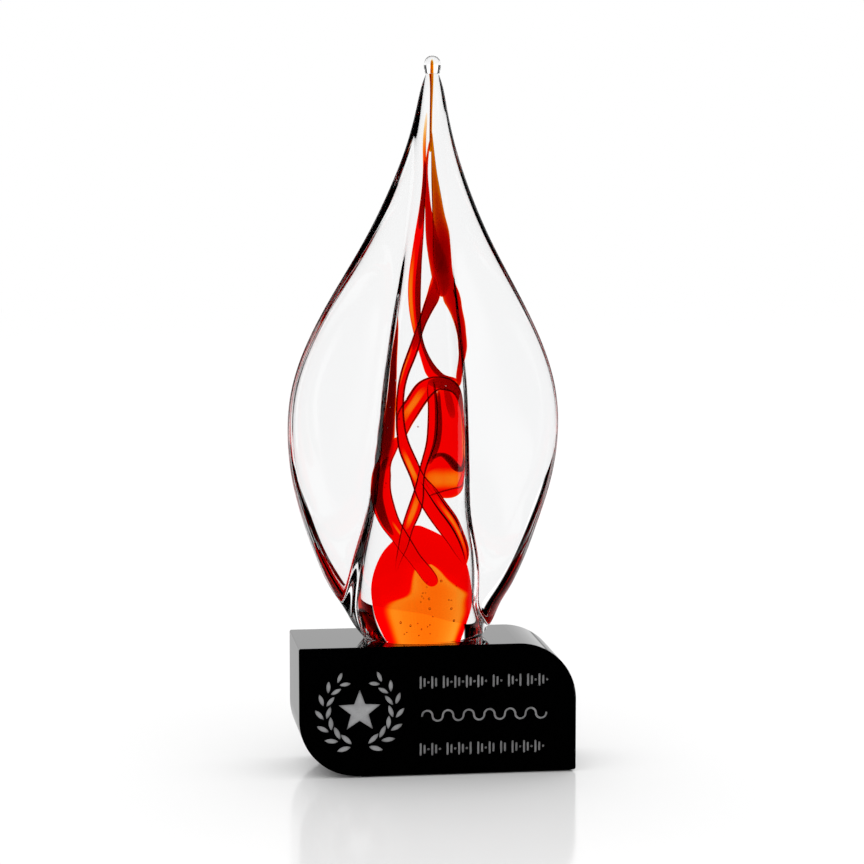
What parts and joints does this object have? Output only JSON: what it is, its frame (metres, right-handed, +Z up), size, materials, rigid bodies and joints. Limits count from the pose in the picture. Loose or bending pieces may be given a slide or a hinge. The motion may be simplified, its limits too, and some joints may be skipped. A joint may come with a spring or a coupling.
{
  "type": "art glass flame award",
  "caption": "Clear art glass flame with a red and orange coloured core, glued on a polished black plinth with a carved emblem and carved ornament bands.",
  "frame": {"origin": "on the resting surface, below the middle of the plinth", "axes": "+Z up through the flame's tip, front with the carving towards -Y, +X to the right seen from the front"},
  "size_m": [0.1223, 0.0478, 0.3075],
  "materials": {
    "black_glass": "polished opaque black crystal with fine polished edges",
    "silver_fill": "matt silver-grey paint fill on a sand-carved floor",
    "black_felt": "short black felt",
    "clear_glue": "clear ultraviolet-cured adhesive",
    "clear_glass": "fire-polished clear crystal",
    "clear_gather": "clear gather with fine seed bubbles",
    "overlay_glass": "transparent orange-red overlay, red where thick",
    "orange_red_glass": "transparent orange-red cane with a paler heart",
    "red_glass": "transparent deep red glass",
    "amber_glass": "transparent amber glass"
  },
  "bodies": {
    "root": {"plinth": "black_glass", "star_fill": "silver_fill", "wreath_fill": "silver_fill", "upper_band_fill": "silver_fill", "wave_fill": "silver_fill", "lower_band_fill": "silver_fill", "felt_pad": "black_felt", "glue_film": "clear_glue", "tip_thread": "amber_glass", "amber_leaf": "amber_glass", "red_leaf": "red_glass", "right_loop": "red_glass", "left_ribbon": "orange_red_glass", "long_strand": "orange_red_glass", "arch_ribbon": "orange_red_glass", "crossing_strand": "orange_red_glass", "low_strand": "orange_red_glass", "maroon_veil": "red_glass", "red_panel": "red_glass", "first_gather": "clear_gather", "colour_overlay": "overlay_glass", "flame_casing": "clear_glass"}
  },
  "joints": []
}
